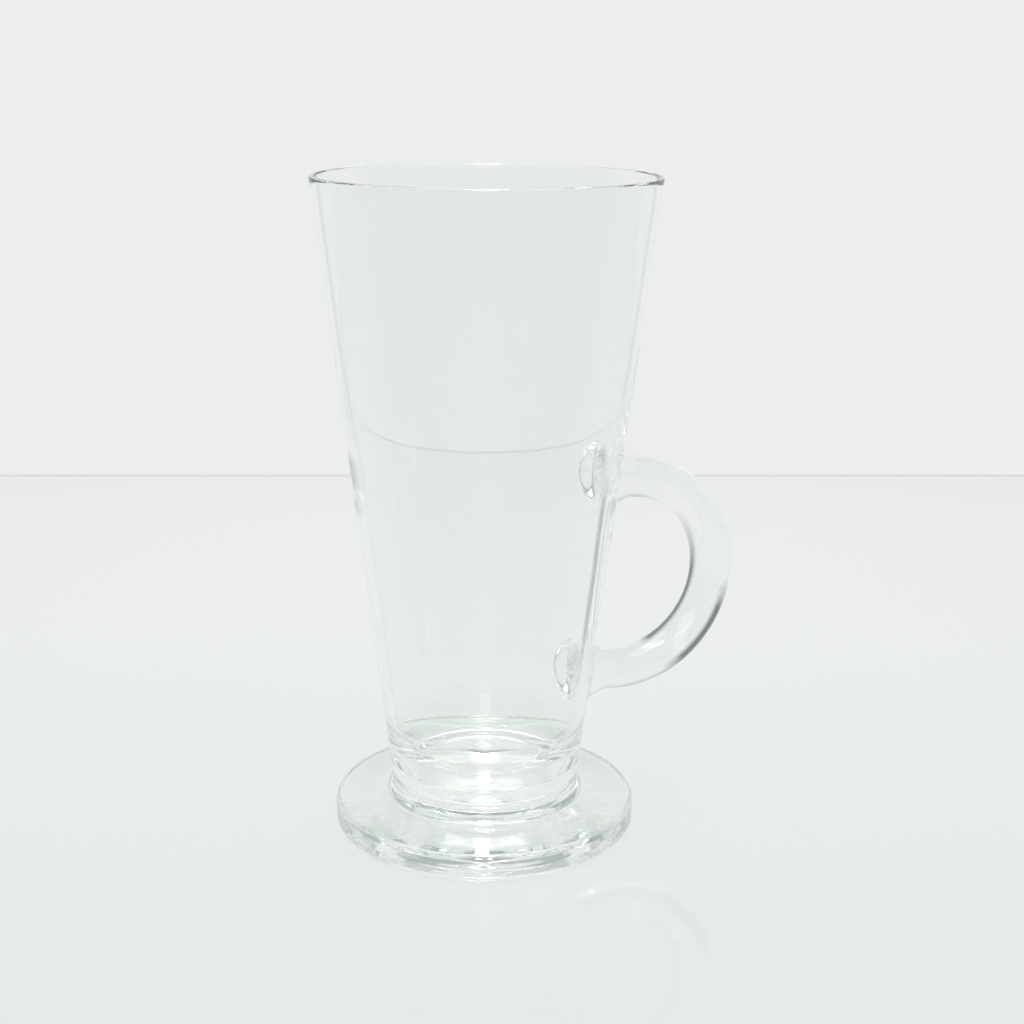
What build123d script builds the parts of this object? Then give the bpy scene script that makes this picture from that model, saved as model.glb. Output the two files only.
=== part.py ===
from build123d import *
import os
from math import atan2, cos, degrees, hypot, radians, sin, tan

os.makedirs("parts", exist_ok=True)

# An Irish coffee mug in clear glass, in millimetres. It stands on the XY plane,
# with the axis of the bowl on Z and the handle on the +X side.

# Bowl: a tapering cup with a thin wall, which bends onto a sloping inside corner and a small round floor
bowl_height = 138.0
rim_diameter = 76.6
bowl_base_diameter = 43.8
rim_wall = 1.3
lower_wall = 1.8
floor_diameter = 29.2
floor_thickness = 1.6
floor_edge_radius = 0.8
corner_slope = 52.0
corner_bend_share = 0.5
base_corner_radius = 1.0

# Stem: a short neck, set in under the bowl and flaring onto the foot
stem_height = 4.0
stem_setback = 0.9
stem_flare = 3.0

# Foot: a plate with a rounded edge, hollowed a little underneath
foot_diameter = 70.4
foot_edge_height = 6.2
foot_rise = 1.8
foot_edge_radius = 1.6
foot_ring_width = 8.0
foot_hollow_depth = 1.5

# Handle: a half-round bow whose two ends spread into pads on the wall, one above the other
handle_mid_height = 44.7
handle_span = 47.6
handle_reach = 37.5
handle_thickness = 9.8
handle_width = 10.4
pad_height = 15.0
pad_width = 16.0
pad_root_depth = 2.0
bow_sections = 7

# A rounding takes at most this share of the thickness that it rounds
rounding_share = 0.45

foot_top = foot_edge_height + foot_rise
bowl_seat = foot_top + stem_height
floor_level = bowl_seat + floor_thickness
rim_level = bowl_seat + bowl_height
rim_radius = rim_diameter / 2
base_radius = bowl_base_diameter / 2
stem_top_radius = base_radius - stem_setback
stem_foot_radius = stem_top_radius + stem_flare
wall_slope = (rim_radius - base_radius) / bowl_height


def wall_radius(level):
    """Radius of the bowl's outer wall at a height above the table."""
    return base_radius + wall_slope * (level - bowl_seat)


def turned(section):
    """The solid that a section in the XZ plane makes when it turns about the Z axis."""
    return revolve(Plane.XZ * section, Axis.Z)


def rounded(section, corner, radius):
    """The section with one of its corners rounded."""
    return fillet(section.vertices().sort_by_distance(corner)[0], radius)


# Bowl
rim_outer = (rim_radius, rim_level)
rim_inner = (rim_radius - rim_wall, rim_level)
base_corner = (base_radius, bowl_seat)
rim_rounding = rounding_share * rim_wall

# Its inside corner runs from the floor's edge up to the inner wall, and the upper part of that slope is bent
floor_edge = (floor_diameter / 2, floor_level)
inner_foot = wall_radius(floor_level) - lower_wall
inner_slope = (rim_inner[0] - inner_foot) / (rim_level - floor_level)
corner_run = 1 / tan(radians(corner_slope))
corner_rise = (inner_foot - floor_edge[0]) / (corner_run - inner_slope)
corner_top = (floor_edge[0] + corner_rise * corner_run, floor_level + corner_rise)
corner_length = hypot(corner_rise, corner_rise * corner_run)
corner_turn = radians(90 - corner_slope) - atan2(inner_slope, 1)
corner_bend_radius = corner_bend_share * corner_length / tan(corner_turn / 2)
bowl_section = make_face(
    Polyline(
        (0, bowl_seat), base_corner, rim_outer, rim_inner, corner_top, floor_edge, (0, floor_level), close=True
    )
)
bowl_section = rounded(bowl_section, base_corner, base_corner_radius)
bowl_section = rounded(bowl_section, corner_top, corner_bend_radius)
bowl_section = rounded(bowl_section, floor_edge, floor_edge_radius)
bowl_section = rounded(bowl_section, rim_outer, rim_rounding)
bowl_section = rounded(bowl_section, rim_inner, rim_rounding)
bowl = turned(bowl_section)

# Stem, with a hollow side that ends level on the foot
stem_side = EllipticalCenterArc(
    (stem_foot_radius, bowl_seat), stem_flare, stem_height, start_angle=180, arc_size=90
)
stem_rest = Polyline(stem_side @ 1, (0, foot_top), (0, bowl_seat), stem_side @ 0)
stem = turned(make_face([stem_side, *stem_rest.edges()]))

# Foot, whose resting ring lies between the hollow and the rounded edge
foot_radius = foot_diameter / 2
edge_rounding = min(foot_edge_radius, rounding_share * foot_edge_height)
hollow_radius = foot_radius - edge_rounding - foot_ring_width
foot_low_corner = (foot_radius, 0)
foot_high_corner = (foot_radius, foot_edge_height)
hollow_arc = ThreePointArc((-hollow_radius, 0), (0, foot_hollow_depth), (hollow_radius, 0))
foot_section = make_face(
    Polyline(
        (0, 0), foot_low_corner, foot_high_corner, (stem_foot_radius, foot_top), (0, foot_top), close=True
    )
)
foot_section = rounded(foot_section, foot_low_corner, edge_rounding)
foot_section = rounded(foot_section, foot_high_corner, edge_rounding)
hollow_section = make_face([hollow_arc, Line(hollow_arc @ 1, hollow_arc @ 0)])
foot = turned(foot_section) - turned(hollow_section & Rectangle(foot_radius, foot_top, align=Align.MIN))

# Handle: its bow lies in a frame on the wall, with one axis up the wall and one straight out of it
wall_tilt = degrees(atan2(rim_radius - base_radius, bowl_height))
handle_level = bowl_seat + handle_mid_height
bow_radius = handle_span / 2
arm_length = handle_reach - handle_thickness / 2 - bow_radius
out_of_wall = Vector(cos(radians(wall_tilt)), 0, -sin(radians(wall_tilt)))
up_the_wall = Vector(sin(radians(wall_tilt)), 0, cos(radians(wall_tilt)))
wall_point = Vector(wall_radius(handle_level), 0, handle_level)


def bar_section(out, up, turn, height, width):
    """An oval across the bar, at a place in the wall's frame, facing a turn about the bow."""
    place = wall_point + out_of_wall * out + up_the_wall * up
    along = out_of_wall * cos(radians(turn)) - up_the_wall * sin(radians(turn))
    return Plane(origin=place, x_dir=(0, 1, 0), z_dir=along) * Ellipse(width / 2, height / 2)


bar = [bar_section(-pad_root_depth, bow_radius, 0, pad_height, pad_width)]
for step in range(bow_sections):
    turn = 180 * step / (bow_sections - 1)
    out = arm_length + bow_radius * sin(radians(turn))
    up = bow_radius * cos(radians(turn))
    bar.append(bar_section(out, up, turn, handle_thickness, handle_width))
bar.append(bar_section(-pad_root_depth, -bow_radius, 180, pad_height, pad_width))
bowl_outside = turned(
    make_face(Polyline((0, bowl_seat), base_corner, rim_outer, (0, rim_level), close=True))
)
handle = loft(bar) - bowl_outside

for name, solid in {"bowl": bowl, "stem": stem, "foot": foot, "handle": handle}.items():
    export_step(solid, f"parts/{name}.step")
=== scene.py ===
import math

import bmesh
import bpy
from mathutils import Matrix, Vector


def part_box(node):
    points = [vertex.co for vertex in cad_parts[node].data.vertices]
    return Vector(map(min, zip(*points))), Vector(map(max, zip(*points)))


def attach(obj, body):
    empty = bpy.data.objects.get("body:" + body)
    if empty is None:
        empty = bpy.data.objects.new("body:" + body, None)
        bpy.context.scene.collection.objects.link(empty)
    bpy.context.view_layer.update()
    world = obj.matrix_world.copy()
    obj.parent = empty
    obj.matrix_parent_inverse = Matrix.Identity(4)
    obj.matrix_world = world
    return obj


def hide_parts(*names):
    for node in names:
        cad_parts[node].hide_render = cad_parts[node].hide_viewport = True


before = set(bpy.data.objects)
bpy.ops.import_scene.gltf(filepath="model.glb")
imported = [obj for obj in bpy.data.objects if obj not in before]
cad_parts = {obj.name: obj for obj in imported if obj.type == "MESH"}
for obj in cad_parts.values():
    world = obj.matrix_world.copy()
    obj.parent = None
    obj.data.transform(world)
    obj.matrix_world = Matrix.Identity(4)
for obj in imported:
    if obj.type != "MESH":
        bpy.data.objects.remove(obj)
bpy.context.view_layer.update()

# BOWL
# The tall tapering cup: a gather of clear soda glass pressed in a mould, thin at the fire-polished rim
# and thicker below, with a small round floor. Everything else is fused to it while the glass is hot.

bowl_low, bowl_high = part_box("bowl")
bowl_seat = bowl_low.z
rim_level = bowl_high.z
rim_radius = 0.0383
base_radius = 0.0219
stem_top_radius = 0.0210
rim_wall = 0.0013
lower_wall = 0.0023
thin_level = 0.115
thick_level = 0.065
floor_radius = 0.0146
floor_thickness = 0.0016
floor_dish = -0.0005
floor_edge_radius = 0.0008
corner_slope = math.radians(52)
corner_bend_share = 0.5
base_corner_radius = 0.0010
rim_rounding_share = 0.45
floor_level = bowl_seat + floor_thickness
rim_rounding = rim_rounding_share * rim_wall
wall_slope = (rim_radius - base_radius) / (rim_level - bowl_seat)
wall_tilt = math.atan2(rim_radius - base_radius, rim_level - bowl_seat)


def wall_radius(level):
    """Radius of the bowl's outer wall at a height above the table."""
    return base_radius + wall_slope * (level - bowl_seat)


def eased(share):
    """A share from 0 to 1 that starts and ends gently."""
    return share ** 2 * (3 - 2 * share)


def wall_thickness(level):
    """Thickness of the bowl's wall at a height, which grows over the middle of the bowl."""
    share = min(1.0, max(0.0, (thin_level - level) / (thin_level - thick_level)))
    return rim_wall + (lower_wall - rim_wall) * eased(share)


def straight(start, end, steps):
    """Points along a straight stretch of a profile, without its first point."""
    return [tuple(a + (b - a) * i / steps for a, b in zip(start, end)) for i in range(1, steps + 1)]


def rounded(before, corner, after, radius, steps):
    """Points of the arc that rounds a profile's corner, from the stretch before it to the one after."""
    corner = Vector(corner)
    back = (Vector(before) - corner).normalized()
    on = (Vector(after) - corner).normalized()
    half = back.angle(on) / 2
    middle = corner + (back + on).normalized() * (radius / math.sin(half))
    first = corner + back * (radius / math.tan(half)) - middle
    turn = (math.pi - 2 * half) * math.copysign(1, back.x * on.y - back.y * on.x)
    arc = []
    for i in range(steps + 1):
        angle = -turn * i / steps
        spoke = Vector((first.x * math.cos(angle) - first.y * math.sin(angle),
                        first.x * math.sin(angle) + first.y * math.cos(angle)))
        arc.append(tuple(middle + spoke))
    return arc


def bowed(start, end, bulge, steps):
    """Points along a shallow arc between two places, which stands out to the right by the bulge."""
    start, end = Vector(start), Vector(end)
    way = end - start
    aside = Vector((way.y, -way.x)).normalized()
    return [tuple(start + way * (i / steps) + aside * (4 * bulge * i / steps * (1 - i / steps)))
            for i in range(steps + 1)]


def skin_face(points):
    """Points of a profile where the glass meets the air."""
    return [(radius, level, False) for radius, level in points]


def fused_face(points):
    """Points of a profile where the glass is melted into the next piece."""
    return [(radius, level, True) for radius, level in points]


def add_node(tree, kind, links=(), **settings):
    """A node of a tree, with its settings, and each input in links joined to a socket or set to a value."""
    node = tree.nodes.new(kind)
    for key, value in settings.items():
        setattr(node, key, value)
    for key, value in dict(links).items():
        if isinstance(value, bpy.types.NodeSocket):
            tree.links.new(value, node.inputs[key])
        else:
            node.inputs[key].default_value = value
    return node


def calc(tree, operation, *values):
    """The result of a math node."""
    return add_node(tree, "ShaderNodeMath", dict(enumerate(values)), operation=operation).outputs[0]


def count(tree, operation, *values):
    """The result of a math node for whole numbers."""
    return add_node(tree, "FunctionNodeIntegerMath", dict(enumerate(values)), operation=operation).outputs[0]


turn_segments = 288
weld_gap = 1e-6
sharp_turn = math.radians(35)
ripple_fade = 0.002
fused_least = 0.99


def turning_tree():
    """Geometry nodes that turn a profile of points about Z and ripple the skin as pressed glass is rippled.

    The profile carries two attributes: free is how far the ripple may act, and fused marks the points of a
    face that is melted into the next piece, which gets the second material.
    """
    tree = bpy.data.node_groups.new("turned_glass", "GeometryNodeTree")
    for name, kind in (("Profile", "Geometry"), ("Segments", "Int"), ("Ripple Height", "Float"),
                       ("Ripple Size", "Float"), ("Seed", "Float"), ("Glass", "Material"),
                       ("Fused", "Material")):
        tree.interface.new_socket(name, in_out="INPUT", socket_type="NodeSocket" + kind)
    tree.interface.new_socket("Mesh", in_out="OUTPUT", socket_type="NodeSocketGeometry")
    given = tree.nodes.new("NodeGroupInput").outputs
    place = tree.nodes.new("GeometryNodeInputPosition").outputs[0]

    def attribute(name):
        """A value that the points carry."""
        return add_node(tree, "GeometryNodeInputNamedAttribute", {"Name": name}, data_type="FLOAT").outputs[0]

    # The grid has a row for each point of the profile and a column for each step round the axis
    points = add_node(tree, "GeometryNodeAttributeDomainSize", {"Geometry": given["Profile"]})
    columns = count(tree, "ADD", given["Segments"], 1)
    grid = add_node(tree, "GeometryNodeMeshGrid",
                    {"Vertices X": points.outputs["Point Count"], "Vertices Y": columns})
    index = tree.nodes.new("GeometryNodeInputIndex").outputs[0]
    row = count(tree, "DIVIDE_FLOOR", index, columns)
    column = count(tree, "MODULO", index, columns)

    def of_profile(value, kind):
        """A value of the profile's point that a row of the grid stands for."""
        return add_node(tree, "GeometryNodeSampleIndex",
                        {"Geometry": given["Profile"], "Value": value, "Index": row},
                        data_type=kind, domain="POINT").outputs[0]

    spot = add_node(tree, "ShaderNodeSeparateXYZ", {0: of_profile(place, "FLOAT_VECTOR")}).outputs
    angle = calc(tree, "MULTIPLY", calc(tree, "DIVIDE", column, given["Segments"]), math.tau)
    x = calc(tree, "MULTIPLY", spot["X"], calc(tree, "COSINE", angle))
    y = calc(tree, "MULTIPLY", spot["X"], calc(tree, "SINE", angle))
    turned = add_node(tree, "ShaderNodeCombineXYZ", {"X": x, "Y": y, "Z": spot["Z"]}).outputs[0]
    mesh = add_node(tree, "GeometryNodeSetPosition", {"Geometry": grid.outputs["Mesh"], "Position": turned})
    for name in ("free", "fused"):
        mark = of_profile(attribute(name), "FLOAT")
        mesh = add_node(tree, "GeometryNodeStoreNamedAttribute",
                        {"Geometry": mesh.outputs[0], "Name": name, "Value": mark},
                        data_type="FLOAT", domain="POINT")
    mesh = add_node(tree, "GeometryNodeMergeByDistance", {"Geometry": mesh.outputs[0], "Distance": weld_gap})

    # The ripple lifts the skin along its normal
    scale = calc(tree, "DIVIDE", 1.0, given["Ripple Size"])
    scaled = add_node(tree, "ShaderNodeVectorMath", {0: place, "Scale": scale}, operation="SCALE")
    noise = add_node(tree, "ShaderNodeTexNoise",
                     {"Vector": scaled.outputs[0], "W": given["Seed"], "Scale": 1.0, "Detail": 1.0},
                     noise_dimensions="4D")
    held = calc(tree, "MULTIPLY", noise.outputs[0], attribute("free"))
    height = calc(tree, "MULTIPLY", held, given["Ripple Height"])
    normal = tree.nodes.new("GeometryNodeInputNormal").outputs[0]
    lift = add_node(tree, "ShaderNodeVectorMath", {0: normal, "Scale": height}, operation="SCALE")
    mesh = add_node(tree, "GeometryNodeSetPosition", {"Geometry": mesh.outputs[0], "Offset": lift.outputs[0]})

    mesh = add_node(tree, "GeometryNodeRealizeInstances", {"Geometry": mesh.outputs[0]})
    mesh = add_node(tree, "GeometryNodeSetMaterial",
                    {"Geometry": mesh.outputs[0], "Material": given["Glass"]})
    melted = add_node(tree, "FunctionNodeCompare", {0: attribute("fused"), 1: fused_least},
                      operation="GREATER_THAN")
    mesh = add_node(tree, "GeometryNodeSetMaterial",
                    {"Geometry": mesh.outputs[0], "Selection": melted.outputs[0], "Material": given["Fused"]})
    tree.links.new(mesh.outputs[0], tree.nodes.new("NodeGroupOutput").inputs[0])
    return tree


turning = turning_tree()

# The faces where two pieces are melted together can't be seen
fused_glass = bpy.data.materials.new("fused_glass")
fused_glass.use_nodes = True
fused_shader = fused_glass.node_tree.nodes["Principled BSDF"]
fused_shader.inputs["Transmission Weight"].default_value = 1.0
fused_shader.inputs["Alpha"].default_value = 0.0


def finish_mesh(name, mesh):
    """A glass piece from its mesh: faces outwards, smooth but for its sharp corners, riding on the body."""
    work = bmesh.new()
    work.from_mesh(mesh)
    bmesh.ops.remove_doubles(work, verts=work.verts, dist=weld_gap)
    bmesh.ops.recalc_face_normals(work, faces=work.faces)
    work.to_mesh(mesh)
    work.free()
    mesh.shade_smooth()
    mesh.set_sharp_from_angle(angle=sharp_turn)
    mesh.name = name
    piece = bpy.data.objects.new(name, mesh)
    bpy.context.scene.collection.objects.link(piece)
    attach(piece, "root")
    return piece


def turned_piece(name, profile, glass, ripple_height=0.0, ripple_size=1.0, seed=0.0):
    """A piece turned from a profile of (radius, height, fused) points, by the geometry nodes above.

    The ripple fades out towards the table, so that the foot stands flat.
    """
    mesh = bpy.data.meshes.new(name + "_profile")
    mesh.from_pydata([(radius, 0, level) for radius, level, _ in profile],
                     [(i, i + 1) for i in range(len(profile) - 1)], [])
    fused = mesh.attributes.new("fused", "FLOAT", "POINT")
    free = mesh.attributes.new("free", "FLOAT", "POINT")
    for i, (_, level, joined) in enumerate(profile):
        fused.data[i].value = float(joined)
        free.data[i].value = 0.0 if joined else min(1.0, level / ripple_fade)
    maker = bpy.data.objects.new(name + "_profile", mesh)
    bpy.context.scene.collection.objects.link(maker)
    modifier = maker.modifiers.new("turning", "NODES")
    modifier.node_group = turning
    sockets = {item.name: item.identifier for item in turning.interface.items_tree}
    modifier[sockets["Segments"]] = turn_segments
    modifier[sockets["Ripple Height"]] = ripple_height
    modifier[sockets["Ripple Size"]] = ripple_size
    modifier[sockets["Seed"]] = seed
    modifier[sockets["Glass"]] = glass
    modifier[sockets["Fused"]] = fused_glass
    view = bpy.context.evaluated_depsgraph_get()
    made = bpy.data.meshes.new_from_object(maker.evaluated_get(view))
    bpy.data.objects.remove(maker)
    return finish_mesh(name, made)


def value_group(name, inputs, outputs):
    """A shader node group with named values: the empty group, and the sockets of its ins and its outs."""
    group = bpy.data.node_groups.new(name, "ShaderNodeTree")
    for socket in inputs:
        group.interface.new_socket(socket, in_out="INPUT", socket_type="NodeSocketFloat")
    for socket in outputs:
        group.interface.new_socket(socket, in_out="OUTPUT", socket_type="NodeSocketFloat")
    return group, group.nodes.new("NodeGroupInput").outputs, group.nodes.new("NodeGroupOutput").inputs


def graded(tree, value, start, full, most=1.0, curve="LINEAR"):
    """A share that grows with a value, from 0 at the start to the most at the full end."""
    return add_node(tree, "ShaderNodeMapRange",
                    {"Value": value, "From Min": start, "From Max": full, "To Max": most},
                    interpolation_type=curve).outputs[0]


def mixed(tree, share, first, second):
    """A colour that goes from the first to the second by a share."""
    return add_node(tree, "ShaderNodeMix", {0: share, 6: first, 7: second}, data_type="RGBA").outputs[2]


def object_place(tree):
    """The place on the piece, in its own coordinates."""
    return tree.nodes.new("ShaderNodeTexCoord").outputs["Object"]


def parts_of(tree, vector):
    """The X, Y and Z of a vector."""
    return add_node(tree, "ShaderNodeSeparateXYZ", {0: vector}).outputs


glass_ior = 1.52
glass_haze = 0.006
smear_scale = 60.0
smear_least, smear_full = 0.4, 0.75
shadow_tint = (0.985, 0.99, 0.987, 1)
edge_slant = (0.62, 0.95)


def skin_group():
    """The skin of pressed glass: soft waves and a finer grain as height, and an uneven haze as roughness."""
    group, given, result = value_group("pressed_skin", ("Wave Scale", "Grain Scale", "Grain Share", "Haze"),
                                       ("Height", "Roughness"))
    place = object_place(group)

    def noise(scale, detail):
        """A soft noise over the piece."""
        return add_node(group, "ShaderNodeTexNoise",
                        {"Vector": place, "Scale": scale, "Detail": detail}).outputs[0]

    grain = calc(group, "MULTIPLY", noise(given["Grain Scale"], 1.0), given["Grain Share"])
    height = calc(group, "ADD", noise(given["Wave Scale"], 0.0), grain)
    smear = graded(group, noise(smear_scale, 4.0), smear_least, smear_full)
    group.links.new(height, result["Height"])
    group.links.new(calc(group, "MULTIPLY", smear, given["Haze"]), result["Roughness"])
    return group


skin = skin_group()


def clear_glass(name, wave_scale, wave_depth, grain_scale, grain_share):
    """Clear soda glass with the pressed skin. Lamps and soft light pass it, so its shadow is pale."""
    material = bpy.data.materials.new(name)
    material.use_nodes = True
    tree = material.node_tree
    shader = tree.nodes["Principled BSDF"]
    shader.inputs["Transmission Weight"].default_value = 1.0
    shader.inputs["IOR"].default_value = glass_ior
    surface = add_node(tree, "ShaderNodeGroup", node_tree=skin)
    surface.inputs["Wave Scale"].default_value = wave_scale
    surface.inputs["Grain Scale"].default_value = grain_scale
    surface.inputs["Grain Share"].default_value = grain_share
    surface.inputs["Haze"].default_value = glass_haze
    bump = add_node(tree, "ShaderNodeBump",
                    {"Height": surface.outputs["Height"], "Strength": 1.0, "Distance": wave_depth})
    tree.links.new(bump.outputs[0], shader.inputs["Normal"])
    tree.links.new(surface.outputs["Roughness"], shader.inputs["Roughness"])
    path = tree.nodes.new("ShaderNodeLightPath").outputs
    soft = calc(tree, "MAXIMUM", path["Is Shadow Ray"], path["Is Diffuse Ray"])
    through = add_node(tree, "ShaderNodeBsdfTransparent", {"Color": shadow_tint})
    mix = add_node(tree, "ShaderNodeMixShader", {0: soft, 1: shader.outputs[0], 2: through.outputs[0]})
    tree.links.new(mix.outputs[0], tree.nodes["Material Output"].inputs["Surface"])
    return material


def slant(tree):
    """How far the surface is turned away: 0 where it is seen square on, and 1 where it is seen edge on."""
    return add_node(tree, "ShaderNodeLayerWeight", {"Blend": 0.5}).outputs["Facing"]


def edge_green_and_shade(tree, tint, shaded_edge_colour):
    """The colour of clear glass, darker where one looks along its surface: partly the glass's own green over
    the long way along its skin, partly painted shade along its edges.
    """
    return mixed(tree, graded(tree, slant(tree), *edge_slant), tint, shaded_edge_colour)


def give_hue(glass, hue):
    """Gives a glass its colour."""
    tree = glass.node_tree
    tree.links.new(hue, tree.nodes["Principled BSDF"].inputs["Base Color"])


def length_of(tree, vector):
    """The length of a vector."""
    return add_node(tree, "ShaderNodeVectorMath", {0: vector}, operation="LENGTH").outputs["Value"]


def depth_in_wall(tree, place):
    """How far a place lies inside the bowl's outer wall, towards the axis."""
    at = parts_of(tree, place)
    flat = add_node(tree, "ShaderNodeCombineXYZ", {"X": at["X"], "Y": at["Y"]})
    wall = calc(tree, "MULTIPLY_ADD", at["Z"], wall_slope, wall_radius(0.0))
    return calc(tree, "SUBTRACT", wall, length_of(tree, flat.outputs[0]))


# The handle's pads are melted into the wall, so the wall has no outer skin inside their two ovals
handle_middle = bowl_seat + 0.0447
handle_span = 0.0476
pad_height = 0.0145
pad_width = 0.0155
out_of_wall = Vector((math.cos(wall_tilt), 0, -math.sin(wall_tilt)))
up_the_wall = Vector((math.sin(wall_tilt), 0, math.cos(wall_tilt)))
wall_point = Vector((wall_radius(handle_middle), 0, handle_middle))
skin_depth = rim_wall / 3


def pad_window_group():
    """1 inside the oval where a handle pad is melted into the outer wall, and 0 elsewhere."""
    group, given, result = value_group("pad_window", ("Centre Height", "Half Width", "Half Height"),
                                       ("Inside",))
    place = object_place(group)
    at = parts_of(group, place)
    across = calc(group, "DIVIDE", at["Y"], given["Half Width"])
    above = calc(group, "SUBTRACT", at["Z"], given["Centre Height"])
    along = calc(group, "DIVIDE", above, given["Half Height"])
    oval = calc(group, "ADD", calc(group, "MULTIPLY", across, across), calc(group, "MULTIPLY", along, along))
    outer = calc(group, "LESS_THAN", depth_in_wall(group, place), skin_depth)
    handle_side = calc(group, "GREATER_THAN", at["X"], 0.0)
    inside = calc(group, "MULTIPLY", calc(group, "LESS_THAN", oval, 1.0), handle_side)
    group.links.new(calc(group, "MULTIPLY", inside, outer), result["Inside"])
    return group


bowl_glass = clear_glass("bowl_glass", wave_scale=60.0, wave_depth=0.00002,
                         grain_scale=260.0, grain_share=0.1)
bowl_tree = bowl_glass.node_tree
pad_window = pad_window_group()
pad_masks = []
for half_span in (handle_span / 2, -handle_span / 2):
    pad_mask = add_node(bowl_tree, "ShaderNodeGroup", node_tree=pad_window)
    pad_mask.inputs["Centre Height"].default_value = (wall_point + up_the_wall * half_span).z
    pad_mask.inputs["Half Width"].default_value = pad_width / 2
    pad_mask.inputs["Half Height"].default_value = pad_height / 2 * math.cos(wall_tilt)
    pad_masks.append(pad_mask.outputs["Inside"])
wall_share = calc(bowl_tree, "SUBTRACT", 1.0, calc(bowl_tree, "MAXIMUM", *pad_masks))
bowl_tree.links.new(wall_share, bowl_tree.nodes["Principled BSDF"].inputs["Alpha"])

# Painted shade: thin dark lines are painted along the bowl's edges on its inner wall, where it is seen edge
# on, strong beside the handle and faint in the thin upper part
bowl_tint = (0.982, 0.989, 0.985, 1)
# Where the bowl is seen edge on: partly the glass's own green, partly painted shade
bowl_edge_green_and_shade = (0.92, 0.945, 0.93, 1)
bowl_shade_line_colour = (0.10, 0.16, 0.15, 1)
handle_side_start, handle_side_full = 0.70, 0.85
beside_ends = ((-0.55, -0.25), (0.55, 0.40))
upper_start, upper_full = 0.085, 0.105
upper_most = 0.45
shade_line_slants = {"Beside Handle": (0.70, 0.77), "Upper Part": (0.78, 0.86)}


def inner_wall_group():
    """Masks on the inner wall for the painted shade lines: beside the handle, between its two pads, and the
    thin upper part all round.
    """
    group, _, result = value_group("inner_wall", (), ("Beside Handle", "Upper Part"))
    place = object_place(group)
    at = parts_of(group, place)
    flat = add_node(group, "ShaderNodeCombineXYZ", {"X": at["X"], "Y": at["Y"]})
    outwards = add_node(group, "ShaderNodeVectorMath", {0: flat.outputs[0]}, operation="NORMALIZE")
    toward_handle = parts_of(group, outwards.outputs[0])["X"]
    inner = calc(group, "GREATER_THAN", depth_in_wall(group, place), skin_depth)
    beside = calc(group, "MULTIPLY", graded(group, toward_handle, handle_side_start, handle_side_full), inner)
    for start, full in beside_ends:
        end = graded(group, at["Z"], handle_middle + start * handle_span, handle_middle + full * handle_span)
        beside = calc(group, "MULTIPLY", beside, end)
    upper = calc(group, "MULTIPLY", graded(group, at["Z"], upper_start, upper_full, upper_most), inner)
    group.links.new(beside, result["Beside Handle"])
    group.links.new(upper, result["Upper Part"])
    return group


shade_line_masks = add_node(bowl_tree, "ShaderNodeGroup", node_tree=inner_wall_group()).outputs
shade_lines = []
for wall_part, (start, full) in shade_line_slants.items():
    steep = graded(bowl_tree, slant(bowl_tree), start, full)
    shade_lines.append(calc(bowl_tree, "MULTIPLY", shade_line_masks[wall_part], steep))
painted_shade_line = calc(bowl_tree, "MAXIMUM", *shade_lines)
bowl_hue = edge_green_and_shade(bowl_tree, bowl_tint, bowl_edge_green_and_shade)
# The painted shade lines take the bowl's colour towards a dark green-grey.
give_hue(bowl_glass, mixed(bowl_tree, painted_shade_line, bowl_hue, bowl_shade_line_colour))

# The profile runs from the seat on the stem up the outside, over the rim, and down the inside to the floor
joint_steps = 4
base_arc_steps = 10
outer_wall_steps = 70
rim_arc_steps = 8
inner_wall_steps = 140
corner_bend_steps = 28
corner_steps = 8
floor_arc_steps = 12
floor_steps = 20
bowl_ripple_height = 0.000012
bowl_ripple_size = 0.016
bowl_seed = 3.0
seat_middle = (0.0, bowl_seat)
seat_edge = (stem_top_radius, bowl_seat)
base_corner = (base_radius, bowl_seat)
rim_outer = (rim_radius, rim_level)
rim_inner = (rim_radius - rim_wall, rim_level)
inner_thin = (wall_radius(thin_level) - rim_wall, thin_level)
inner_thick = (wall_radius(thick_level) - lower_wall, thick_level)
floor_edge = (floor_radius, floor_level)
floor_middle = (0.0, floor_level)
inner_foot = wall_radius(floor_level) - lower_wall
corner_run = 1 / math.tan(corner_slope)
corner_rise = (inner_foot - floor_radius) / (corner_run - wall_slope)
corner_length = math.hypot(corner_rise, corner_rise * corner_run)
corner_top = (floor_radius + corner_rise * corner_run, floor_level + corner_rise)
corner_turn = math.pi / 2 - corner_slope - wall_tilt
corner_bend_radius = corner_bend_share * corner_length / math.tan(corner_turn / 2)
seat = [seat_middle] + straight(seat_middle, seat_edge, joint_steps)
base_arc = rounded(seat_edge, base_corner, rim_outer, base_corner_radius, base_arc_steps)
rim_out_arc = rounded(base_corner, rim_outer, rim_inner, rim_rounding, rim_arc_steps)
rim_in_arc = rounded(rim_outer, rim_inner, inner_thin, rim_rounding, rim_arc_steps)
corner_bend = rounded(inner_thick, corner_top, floor_edge, corner_bend_radius, corner_bend_steps)
dished_floor = bowed(floor_middle, floor_edge, floor_dish, floor_steps)[::-1]
floor_arc = rounded(corner_top, floor_edge, dished_floor[2], floor_edge_radius, floor_arc_steps)
bowl_line = base_arc + straight(base_arc[-1], rim_out_arc[0], outer_wall_steps)[:-1]
bowl_line += rim_out_arc + rim_in_arc
for _, wall_level in straight(rim_in_arc[-1], corner_bend[0], inner_wall_steps)[:-1]:
    bowl_line.append((wall_radius(wall_level) - wall_thickness(wall_level), wall_level))
bowl_line += corner_bend + straight(corner_bend[-1], floor_arc[0], corner_steps)[:-1] + floor_arc
bowl_line += [point for point in dished_floor if point[0] < floor_arc[-1][0]]
bowl = turned_piece("bowl_glass", fused_face(seat) + skin_face(bowl_line), bowl_glass,
                    bowl_ripple_height, bowl_ripple_size, bowl_seed)
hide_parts("bowl")

# STEM
# The short neck: a small gather pressed between the bowl and the foot, waisted under the bowl
# and flaring where it runs out onto the foot.

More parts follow.
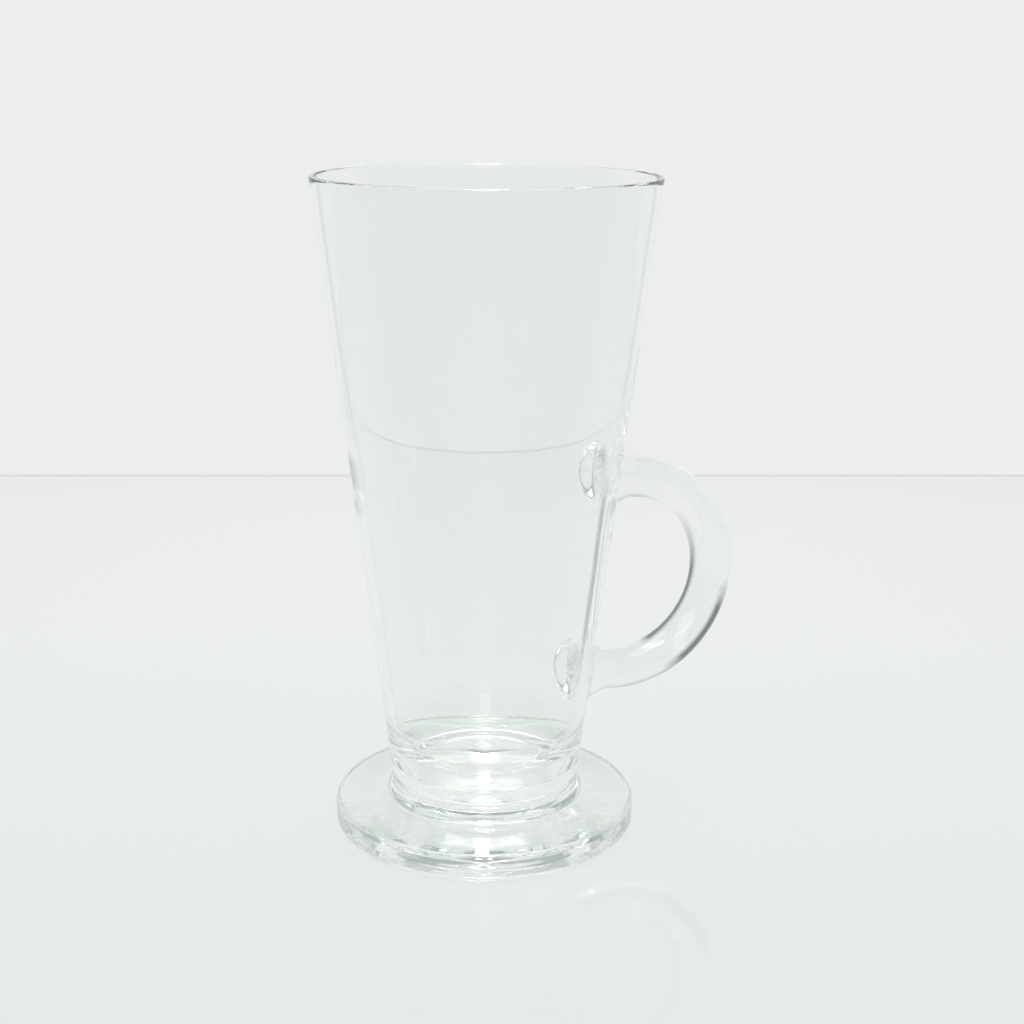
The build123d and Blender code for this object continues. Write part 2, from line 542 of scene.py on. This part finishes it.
stem_low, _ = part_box("stem")
foot_top = stem_low.z
stem_height = bowl_seat - foot_top
stem_flare = 0.003
stem_side_steps = 12
stem_tint = (0.972, 0.988, 0.980, 1)
# Where the thick stem and foot are seen edge on they turn a dark green-grey: partly the glass's own green,
# partly painted shade
thick_edge_green_and_shade = (0.50, 0.58, 0.54, 1)
stem_foot_radius = stem_top_radius + stem_flare
stem_glass = clear_glass("stem_glass", wave_scale=120.0, wave_depth=0.0001,
                         grain_scale=500.0, grain_share=0.15)
give_hue(stem_glass, edge_green_and_shade(stem_glass.node_tree, stem_tint, thick_edge_green_and_shade))
foot_middle = (0.0, foot_top)
stem_edge = (stem_foot_radius, foot_top)
stem_side = []
for step in range(1, stem_side_steps):
    side_turn = math.pi / 2 * step / stem_side_steps
    stem_side.append((stem_foot_radius - stem_flare * math.sin(side_turn),
                      bowl_seat - stem_height * math.cos(side_turn)))
stem_profile = fused_face([foot_middle] + straight(foot_middle, stem_edge, joint_steps))
stem_profile += skin_face(stem_side)
stem_profile += fused_face([seat_edge] + straight(seat_edge, seat_middle, joint_steps))
stem = turned_piece("stem_glass", stem_profile, stem_glass)
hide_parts("stem")

# FOOT
# The round plate that the mug stands on: pressed glass with a rounded edge, a top that rises to the stem
# and a shallow hollow underneath, so that it rests on a ring.

_, foot_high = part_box("foot")
foot_radius = foot_high.x
foot_edge_height = 0.0062
foot_edge_radius = 0.0016
foot_ring_width = 0.008
foot_hollow_depth = 0.0015
hollow_steps = 30
ring_steps = 4
foot_arc_steps = 14
foot_top_steps = 12
foot_ripple_height = 0.0002
foot_ripple_size = 0.012
foot_seed = 9.0
foot_tint = (0.976, 0.989, 0.982, 1)
foot_glass = clear_glass("foot_glass", wave_scale=90.0, wave_depth=0.00015,
                         grain_scale=450.0, grain_share=0.15)
give_hue(foot_glass, edge_green_and_shade(foot_glass.node_tree, foot_tint, thick_edge_green_and_shade))
hollow_radius = foot_radius - foot_edge_radius - foot_ring_width
dome_radius = (hollow_radius ** 2 + foot_hollow_depth ** 2) / (2 * foot_hollow_depth)
ring_edge = (hollow_radius, 0.0)
low_corner = (foot_radius, 0.0)
high_corner = (foot_radius, foot_edge_height)
low_arc = rounded(ring_edge, low_corner, high_corner, foot_edge_radius, foot_arc_steps)
high_arc = rounded(low_corner, high_corner, stem_edge, foot_edge_radius, foot_arc_steps)
foot_line = []
for step in range(hollow_steps + 1):
    hollow_out = hollow_radius * step / hollow_steps
    dome_height = math.sqrt(dome_radius ** 2 - hollow_out ** 2)
    foot_line.append((hollow_out, dome_height - dome_radius + foot_hollow_depth))
foot_line += straight(ring_edge, low_arc[0], ring_steps)[:-1] + low_arc + high_arc
foot_line += straight(high_arc[-1], stem_edge, foot_top_steps)[:-1]
foot_profile = skin_face(foot_line)
foot_profile += fused_face([stem_edge] + straight(stem_edge, foot_middle, joint_steps))
foot = turned_piece("foot_glass", foot_profile, foot_glass, foot_ripple_height, foot_ripple_size, foot_seed)
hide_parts("foot")

# HANDLE
# The C-shaped bar for two fingers: a pressed bar of oval section, bent to a bow while hot, whose two ends
# spread into pads that are melted onto the bowl's wall.

handle_reach = 0.0375
handle_thickness = 0.0098
handle_width = 0.0104
pad_length = 0.007
arm_steps = 24
bow_steps = 120
bar_points = 96
pad_ring_shares = (0.7, 0.4)
bow_radius = handle_span / 2
arm_length = handle_reach - handle_thickness / 2 - bow_radius
bow_centre = wall_point + out_of_wall * arm_length

# Painted shade: dark edges are painted along the inside of the bow and along the lower outside of it, where
# the bar is seen edge on, in place of dark reflections; and the bar is faintly darker at the pads' seam with
# the wall
handle_tint = (0.985, 0.992, 0.988, 1)
shade_and_seam_colour = (0.04, 0.055, 0.05, 1)
painted_shade_sides = {"Inner": ("LESS_THAN", (-69, -60, 5, 60)), "Outer": ("GREATER_THAN", (-64, -50, -16, 0))}
painted_shade_slants = {"Inner": (0.28, 0.56), "Outer": (0.14, 0.42)}
seam_start, seam_full = -0.0013, -0.0004
seam_most = 0.35


def bow_sides_group():
    """Masks on the bow: its side towards the fingers and the lower part of its outside, which get the painted
    shade, and the pads' seam.

    The side masks come in and go out between angles about the bow's centre, from straight out of the wall.
    """
    group, _, result = value_group("bow_sides", (), ("Inner", "Outer", "Seam"))
    place = object_place(group)
    from_centre = add_node(group, "ShaderNodeVectorMath", {0: place, 1: bow_centre}, operation="SUBTRACT")

    def along(direction):
        """How far a place lies from the bow's centre in a direction."""
        return add_node(group, "ShaderNodeVectorMath", {0: from_centre.outputs[0], 1: direction},
                        operation="DOT_PRODUCT").outputs["Value"]

    out = along(out_of_wall)
    up = along(up_the_wall)
    turn = calc(group, "ARCTAN2", up, out)
    flat = add_node(group, "ShaderNodeCombineXYZ", {"X": out, "Y": up})
    radius = length_of(group, flat.outputs[0])
    for name, (side, angles) in painted_shade_sides.items():
        low, low_full, high_full, high = (math.radians(angle) for angle in angles)
        rise = graded(group, turn, low, low_full)
        fall = graded(group, turn, high, high_full)
        span = calc(group, "MULTIPLY", rise, fall)
        mask = calc(group, "MULTIPLY", span, calc(group, side, radius, bow_radius))
        group.links.new(mask, result[name])
    seam = graded(group, depth_in_wall(group, place), seam_start, seam_full, seam_most)
    group.links.new(seam, result["Seam"])
    return group


handle_glass = clear_glass("handle_glass", wave_scale=60.0, wave_depth=0.00003,
                           grain_scale=260.0, grain_share=0.1)
handle_tree = handle_glass.node_tree
shade_and_seam_masks = add_node(handle_tree, "ShaderNodeGroup", node_tree=bow_sides_group()).outputs
painted_shade_and_seam = shade_and_seam_masks["Seam"]
for bow_side, (start, full) in painted_shade_slants.items():
    steep = graded(handle_tree, slant(handle_tree), start, full, curve="SMOOTHSTEP")
    painted_side_shade = calc(handle_tree, "MULTIPLY", steep, shade_and_seam_masks[bow_side])
    painted_shade_and_seam = calc(handle_tree, "MAXIMUM", painted_shade_and_seam, painted_side_shade)
# The painted shade and the seam take the handle's colour towards near black.
give_hue(handle_glass, mixed(handle_tree, painted_shade_and_seam, handle_tint, shade_and_seam_colour))

bar = bmesh.new()


def bar_line():
    """Places along the bar's middle, out and up in the wall's frame, from the upper pad to the lower."""
    arm = [arm_length * i / arm_steps for i in range(arm_steps)]
    turns = [math.pi * i / bow_steps for i in range(bow_steps + 1)]
    bow = [Vector((arm_length + bow_radius * math.sin(turn), bow_radius * math.cos(turn))) for turn in turns]
    upper = [Vector((out, bow_radius)) for out in arm]
    lower = [Vector((out, -bow_radius)) for out in reversed(arm)]
    return upper + bow + lower


def bar_ring(place, way, flare):
    """A ring of points round the bar. Towards a pad the ring widens by the flare and hugs the round wall."""
    half_height = (handle_thickness + (pad_height - handle_thickness) * flare) / 2
    half_width = (handle_width + (pad_width - handle_width) * flare) / 2
    middle = wall_point + out_of_wall * place.x + up_the_wall * place.y
    across = out_of_wall * -way.y + up_the_wall * way.x
    ring = []
    for k in range(bar_points):
        angle = math.tau * k / bar_points
        aside = Vector((0, half_width * math.cos(angle), 0))
        point = middle + across * (half_height * math.sin(angle)) + aside
        hug = point.x - math.sqrt(point.x ** 2 - point.y ** 2)
        point.x -= hug * flare
        ring.append(bar.verts.new(point))
    return ring


def join_rings(first, second, material_index):
    """The faces between two rings of points."""
    for k in range(bar_points):
        face = bar.faces.new((first[k], first[k - 1], second[k - 1], second[k]))
        face.material_index = material_index


def close_pad(ring):
    """The face of a pad, which lies on the bowl's wall and is melted into it."""
    centre = sum((vertex.co for vertex in ring), Vector()) / bar_points
    last = ring
    for share in pad_ring_shares:
        inner = []
        for vertex in ring:
            point = centre + (vertex.co - centre) * share
            point.x = math.sqrt(wall_radius(point.z) ** 2 - point.y ** 2)
            inner.append(bar.verts.new(point))
        join_rings(last, inner, 1)
        last = inner
    hub = bar.verts.new((wall_radius(centre.z), 0, centre.z))
    for k in range(bar_points):
        bar.faces.new((last[k], last[k - 1], hub)).material_index = 1


line = bar_line()
distances = [0.0]
for here, there in zip(line, line[1:]):
    distances.append(distances[-1] + (there - here).length)
bar_ways = [(after - before).normalized() for before, after in zip(line, line[2:])]
bar_ways = [Vector((1, 0))] + bar_ways + [Vector((-1, 0))]
rings = []
for place, way, distance in zip(line, bar_ways, distances):
    from_wall = min(distance, distances[-1] - distance)
    rings.append(bar_ring(place, way, 1 - eased(min(1.0, from_wall / pad_length))))
for ring, next_ring in zip(rings, rings[1:]):
    join_rings(ring, next_ring, 0)
close_pad(rings[0])
close_pad(rings[-1])
handle_mesh = bpy.data.meshes.new("handle_glass")
bar.to_mesh(handle_mesh)
bar.free()
handle_mesh.materials.append(handle_glass)
handle_mesh.materials.append(fused_glass)
handle = finish_mesh("handle_glass", handle_mesh)
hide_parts("handle")

# STAGE
# A pale, smoothly painted table in a bright room, with painted shade that makes it darker towards the camera.
# Its far edge lies level behind the mug, as a narrow strip painted darker than the top: a painted shadow
# where the table meets the wall.

camera_turn = math.radians(-24)
camera_right = Vector((math.cos(camera_turn), math.sin(camera_turn), 0))
camera_ahead = Vector((-math.sin(camera_turn), math.cos(camera_turn), 0))
table_far = 0.3275
table_near = 0.6
table_side = 1.6
table_depth = 0.02
table_gap = 0.0001
table_skew = math.tan(math.radians(1.9))
edge_depth = 0.004
painted_falloff_start = -0.16
cloud_scale = 9.0
cloud_share = 0.05
slab_faces = ((0, 1, 2, 3), (7, 6, 5, 4), (0, 4, 5, 1), (1, 5, 6, 2), (2, 6, 7, 3), (3, 7, 4, 0))


def table_paint_and_falloff(name, near_colour, far_colour, roughness):
    """Smooth pale paint with a faint unevenness, and painted shade that makes it a little cooler and darker
    towards the camera.
    """
    material = bpy.data.materials.new(name)
    material.use_nodes = True
    tree = material.node_tree
    shader = tree.nodes["Principled BSDF"]
    place = object_place(tree)
    depth = add_node(tree, "ShaderNodeVectorMath", {0: place, 1: camera_ahead}, operation="DOT_PRODUCT")
    # Painted shade: towards the camera the paint turns to the darker near colour, where less light falls.
    painted_falloff = graded(tree, depth.outputs["Value"], painted_falloff_start, table_far, curve="SMOOTHSTEP")
    cloud = add_node(tree, "ShaderNodeTexNoise", {"Vector": place, "Scale": cloud_scale, "Detail": 3.0})
    drift = add_node(tree, "ShaderNodeMapRange",
                     {"Value": cloud.outputs[0], "To Min": -cloud_share, "To Max": cloud_share})
    paint = mixed(tree, calc(tree, "ADD", painted_falloff, drift.outputs[0]), near_colour, far_colour)
    tree.links.new(paint, shader.inputs["Base Color"])
    shader.inputs["Roughness"].default_value = roughness
    return material


def table_slab(name, near, far, material):
    """A flat slab of the table, nearly square to the camera's way."""
    corners = [camera_right * x + camera_ahead * (y + x * table_skew)
               for x, y in ((-table_side, near), (table_side, near), (table_side, far), (-table_side, far))]
    top = [(*corner.xy, -table_gap) for corner in corners]
    bottom = [(*corner.xy, -table_depth) for corner in corners]
    mesh = bpy.data.meshes.new(name)
    mesh.from_pydata(top + bottom, [], slab_faces)
    mesh.materials.append(material)
    slab = bpy.data.objects.new(name, mesh)
    bpy.context.scene.collection.objects.link(slab)


table_top_and_falloff = table_paint_and_falloff("table_top_and_falloff", (0.78, 0.815, 0.79, 1), (0.86, 0.87, 0.86, 1), 0.08)
# Painted shadow: the narrow far strip is painted darker, for the shade in the gap where the table meets the
# wall.
gap_shadow_paint = table_paint_and_falloff("gap_shadow_paint", (0.74, 0.75, 0.74, 1), (0.76, 0.77, 0.76, 1), 0.5)
table_slab("table", -table_near, table_far - edge_depth, table_top_and_falloff)
table_slab("table_edge_shadow", table_far - edge_depth, table_far, gap_shadow_paint)

# LIGHT
# An even bright room: a pale wall ahead, dimmer round the sides, with a soft lamp and a tube overhead
# and a tall window behind the camera.

room_strength = 0.30
room_tint = (0.95, 0.975, 0.95, 1)
wall_colour = (0.840, 0.857, 0.847, 1)
dim_colour = (0.40, 0.46, 0.43, 1)
wall_ahead = (-0.2, 0.5)
wall_height = (0.75, 0.35)
world = bpy.data.worlds.new("room")
bpy.context.scene.world = world
world.use_nodes = True
room = world.node_tree
room_light = room.nodes["Background"]
room_light.inputs["Color"].default_value = room_tint
room_light.inputs["Strength"].default_value = room_strength
room_path = room.nodes.new("ShaderNodeLightPath").outputs
room_way = room.nodes.new("ShaderNodeTexCoord").outputs["Generated"]
ahead_share = add_node(room, "ShaderNodeVectorMath", {0: room_way, 1: camera_ahead}, operation="DOT_PRODUCT")
far_wall = graded(room, ahead_share.outputs["Value"], *wall_ahead, curve="SMOOTHSTEP")
low_wall = graded(room, parts_of(room, room_way)["Z"], *wall_height, curve="SMOOTHSTEP")
lit_wall = calc(room, "MULTIPLY", far_wall, low_wall)
room_hue = mixed(room, calc(room, "MAXIMUM", lit_wall, room_path["Is Camera Ray"]), dim_colour, wall_colour)
room_seen = add_node(room, "ShaderNodeBackground", {"Color": room_hue})
by_glass = calc(room, "MAXIMUM", room_path["Is Glossy Ray"], room_path["Is Transmission Ray"])
seen_share = calc(room, "MAXIMUM", by_glass, room_path["Is Camera Ray"])
room_mix = add_node(room, "ShaderNodeMixShader",
                    {0: seen_share, 1: room_light.outputs[0], 2: room_seen.outputs[0]})
room.links.new(room_mix.outputs[0], room.nodes["World Output"].inputs["Surface"])


def soft_lamp(name, height, ahead, tilt, width, length, watts):
    """A flat soft lamp, square to the camera's way, that faces down or is tilted up towards the mug."""
    lamp = bpy.data.lights.new(name, "AREA")
    lamp.shape = "RECTANGLE"
    lamp.size = width
    lamp.size_y = length
    lamp.energy = watts
    spot = camera_ahead * ahead + Vector((0, 0, height))
    holder = bpy.data.objects.new(name, lamp)
    holder.matrix_world = (Matrix.Translation(spot) @ Matrix.Rotation(camera_turn, 4, "Z")
                           @ Matrix.Rotation(tilt, 4, "X"))
    bpy.context.scene.collection.objects.link(holder)


soft_lamp("overhead_lamp", height=1.3, ahead=0.1, tilt=0.0, width=1.4, length=0.9, watts=7.5)
soft_lamp("lamp_tube", height=1.29, ahead=-0.1, tilt=0.0, width=0.22, length=0.95, watts=6.5)
soft_lamp("window", height=1.15, ahead=-1.5, tilt=math.pi / 2, width=0.42, length=1.3, watts=2.4)

# CAMERA
# A normal lens a little above the rim, looking down at the mug with the handle to the right and away.
# Light is followed far enough to pass all the walls of the glass.

camera_pitch = math.radians(15.6)
camera_roll = math.radians(0.47)
camera_aside = 0.006
camera_back = 0.363
camera_height = 0.176
glass_bounces = 160
clear_bounces = 128
eye = bpy.data.cameras.new("eye")
eye.sensor_width = 36
eye.lens = 58.25
camera = bpy.data.objects.new("eye", eye)
camera_place = camera_right * camera_aside - camera_ahead * camera_back + Vector((0, 0, camera_height))
camera.matrix_world = (Matrix.Translation(camera_place) @ Matrix.Rotation(camera_turn, 4, "Z")
                       @ Matrix.Rotation(math.pi / 2 - camera_pitch, 4, "X")
                       @ Matrix.Rotation(camera_roll, 4, "Z"))
bpy.context.scene.collection.objects.link(camera)
bpy.context.scene.camera = camera
bpy.context.scene.view_settings.view_transform = "Standard"
cycles = bpy.context.scene.cycles
cycles.max_bounces = glass_bounces
cycles.transmission_bounces = glass_bounces
cycles.glossy_bounces = glass_bounces
cycles.transparent_max_bounces = clear_bounces
cycles.caustics_reflective = False
cycles.caustics_refractive = False
